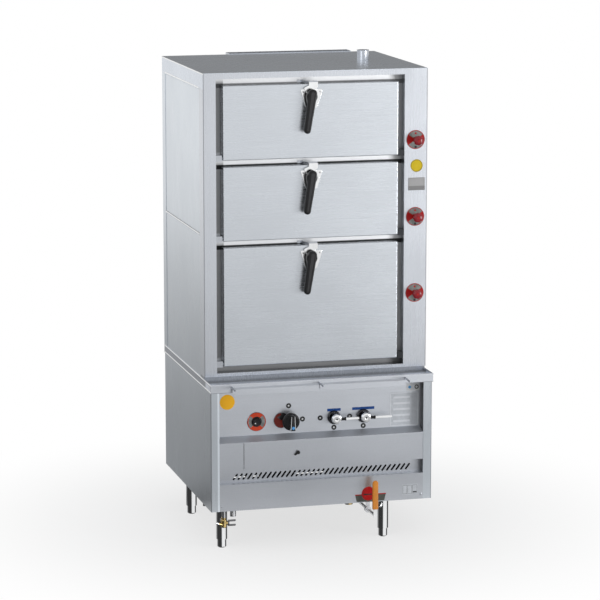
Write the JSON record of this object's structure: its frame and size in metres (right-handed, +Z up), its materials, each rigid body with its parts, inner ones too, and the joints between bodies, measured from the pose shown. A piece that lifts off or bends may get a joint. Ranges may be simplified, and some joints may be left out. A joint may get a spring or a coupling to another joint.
{
  "type": "triple deck steamer",
  "caption": "Gas steam cabinet with stacked drop-down doors, lever latches and turn knobs, on a burner base with drip tray, taps, drain lever and round legs.",
  "frame": {"origin": "on the floor under the middle of the whole outline, from the front of the hooks to the back of the flue", "axes": "+X to the right, +Y to the back, +Z up; the doors face -Y"},
  "size_m": [0.9, 0.985, 1.898],
  "materials": {
    "brushed_sheet": "brushed stainless sheet",
    "door_sheet": "brushed stainless sheet",
    "liner_sheet": "dull stainless sheet",
    "flue_sheet": "dull stainless sheet",
    "floor_sheet": "dull sheet",
    "tank_sheet": "welded stainless sheet",
    "seal_rubber": "matt silicone",
    "bright_metal": "polished",
    "black_grip": "satin moulding",
    "red_knob": "gloss moulding",
    "rack_wire": "bright wire",
    "mineral_wool": "matt wool",
    "bracket_metal": "satin",
    "pipe_metal": "satin tube",
    "dial_face": "painted plate",
    "plate_stock": "thin plate",
    "burner_iron": "rough casting",
    "valve_brass": "turned",
    "fitting_metal": "turned",
    "orange_sleeve": "soft sleeve",
    "leg_metal": "polished tube"
  },
  "bodies": {
    "cabinet": {"base_floor": "floor_sheet", "base_side_left": "brushed_sheet", "base_side_right": "brushed_sheet", "blank_plates": "plate_stock", "control_panel": "brushed_sheet", "deck_liner_bottom": "liner_sheet", "deck_liner_middle": "liner_sheet", "deck_liner_top": "liner_sheet", "deck_racks": "rack_wire", "dial_plates": "dial_face", "door_hardware": "bracket_metal", "drip_tray": "brushed_sheet", "face_frame": "brushed_sheet", "flue_duct": "flue_sheet", "front_covers": "brushed_sheet", "gas_burners": "burner_iron", "insulation": "mineral_wool", "leg_tubes": "leg_metal", "panel_screws": "bright_metal", "rear_skins": "brushed_sheet", "roof_panel": "brushed_sheet", "roof_vent_pipe": "pipe_metal", "sealing_frame": "liner_sheet", "steam_pipes": "pipe_metal", "under_fittings": "fitting_metal", "upper_side_left": "brushed_sheet", "upper_side_right": "brushed_sheet", "valve_bodies": "valve_brass", "vent_strip": "brushed_sheet", "water_tank": "tank_sheet"},
    "door_body_top": {"door_top": "door_sheet", "gasket_top": "seal_rubber", "latch_plate_top": "bright_metal"},
    "latch_body_top": {"latch_lever_top": "black_grip", "latch_tongue_top": "bright_metal"},
    "steam_control_top": {"steam_knob_top": "red_knob"},
    "door_body_middle": {"door_middle": "door_sheet", "gasket_middle": "seal_rubber", "latch_plate_middle": "bright_metal"},
    "latch_body_middle": {"latch_lever_middle": "black_grip", "latch_tongue_middle": "bright_metal"},
    "steam_control_middle": {"steam_knob_middle": "red_knob"},
    "door_body_bottom": {"door_bottom": "door_sheet", "gasket_bottom": "seal_rubber", "latch_plate_bottom": "bright_metal"},
    "latch_body_bottom": {"latch_lever_bottom": "black_grip", "latch_tongue_bottom": "bright_metal"},
    "steam_control_bottom": {"steam_knob_bottom": "red_knob"},
    "gas_control": {"gas_knob": "black_grip"},
    "igniter": {"igniter_button": "black_grip"},
    "tap_left": {"tap_lever_left": "bright_metal"},
    "tap_right": {"tap_lever_right": "bright_metal"},
    "catch": {"panel_catch": "black_grip"},
    "drain_lever": {"drain_rod": "bright_metal", "drain_grip": "orange_sleeve"},
    "cock_turn": {"cock_handle": "bright_metal"},
    "foot_slide_front_left": {"foot_front_left": "leg_metal"},
    "foot_slide_front_right": {"foot_front_right": "leg_metal"},
    "foot_slide_rear_left": {"foot_rear_left": "leg_metal"},
    "foot_slide_rear_right": {"foot_rear_right": "leg_metal"}
  },
  "joints": [
    {"name": "door_drop_top", "type": "hinge", "parent": "cabinet", "child": "door_body_top", "pos_m": [-0.0215, -0.3035, 1.53], "axis": [1, 0, 0], "range_deg": [0, 90]},
    {"name": "latch_turn_top", "type": "hinge", "parent": "door_body_top", "child": "latch_body_top", "pos_m": [-0.0245, -0.3358, 1.775], "axis": [0, 1, 0], "range_deg": [0, 90]},
    {"name": "steam_turn_top", "type": "hinge", "parent": "cabinet", "child": "steam_control_top", "pos_m": [0.402, -0.3195, 1.5801], "axis": [0, 1, 0], "range_deg": [0, 90]},
    {"name": "door_drop_middle", "type": "hinge", "parent": "cabinet", "child": "door_body_middle", "pos_m": [-0.0215, -0.3035, 1.215], "axis": [1, 0, 0], "range_deg": [0, 90]},
    {"name": "latch_turn_middle", "type": "hinge", "parent": "door_body_middle", "child": "latch_body_middle", "pos_m": [-0.0245, -0.3358, 1.46], "axis": [0, 1, 0], "range_deg": [0, 90]},
    {"name": "steam_turn_middle", "type": "hinge", "parent": "cabinet", "child": "steam_control_middle", "pos_m": [0.402, -0.3195, 1.27595], "axis": [0, 1, 0], "range_deg": [0, 90]},
    {"name": "door_drop_bottom", "type": "hinge", "parent": "cabinet", "child": "door_body_bottom", "pos_m": [-0.0215, -0.3035, 0.722], "axis": [1, 0, 0], "range_deg": [0, 90]},
    {"name": "latch_turn_bottom", "type": "hinge", "parent": "door_body_bottom", "child": "latch_body_bottom", "pos_m": [-0.0245, -0.3358, 1.145], "axis": [0, 1, 0], "range_deg": [0, 90]},
    {"name": "steam_turn_bottom", "type": "hinge", "parent": "cabinet", "child": "steam_control_bottom", "pos_m": [0.402, -0.3195, 0.97184], "axis": [0, 1, 0], "range_deg": [0, 90]},
    {"name": "gas_turn", "type": "hinge", "parent": "cabinet", "child": "gas_control", "pos_m": [-0.1242, -0.3655, 0.497], "axis": [0, 1, 0], "range_deg": [0, 90]},
    {"name": "igniter_push", "type": "slide", "parent": "cabinet", "child": "igniter", "axis": [0, 1, 0], "range_m": [0, 0.005], "stiffness_N_per_m": 800},
    {"name": "tap_turn_left", "type": "hinge", "parent": "cabinet", "child": "tap_left", "pos_m": [0.06003, -0.3655, 0.497], "axis": [0, -1, 0], "range_deg": [0, 90]},
    {"name": "tap_turn_right", "type": "hinge", "parent": "cabinet", "child": "tap_right", "pos_m": [0.18009, -0.3655, 0.497], "axis": [0, -1, 0], "range_deg": [0, 90]},
    {"name": "catch_turn", "type": "hinge", "parent": "cabinet", "child": "catch", "pos_m": [-0.09853, -0.4115, 0.376], "axis": [0, 1, 0], "range_deg": [0, 90]},
    {"name": "drain_turn", "type": "hinge", "parent": "cabinet", "child": "drain_lever", "pos_m": [0.203, -0.4225, 0.112], "axis": [0, 1, 0], "range_deg": [0, 90]},
    {"name": "cock_turning", "type": "hinge", "parent": "cabinet", "child": "cock_turn", "pos_m": [-0.394, -0.3965, 0.105], "axis": [1, 0, 0], "range_deg": [0, 90]},
    {"name": "foot_adjust_front_left", "type": "slide", "parent": "cabinet", "child": "foot_slide_front_left", "axis": [0, 0, -1], "range_m": [0, 0.025]},
    {"name": "foot_adjust_front_right", "type": "slide", "parent": "cabinet", "child": "foot_slide_front_right", "axis": [0, 0, -1], "range_m": [0, 0.025]},
    {"name": "foot_adjust_rear_left", "type": "slide", "parent": "cabinet", "child": "foot_slide_rear_left", "axis": [0, 0, -1], "range_m": [0, 0.025]},
    {"name": "foot_adjust_rear_right", "type": "slide", "parent": "cabinet", "child": "foot_slide_rear_right", "axis": [0, 0, -1], "range_m": [0, 0.025]}
  ]
}
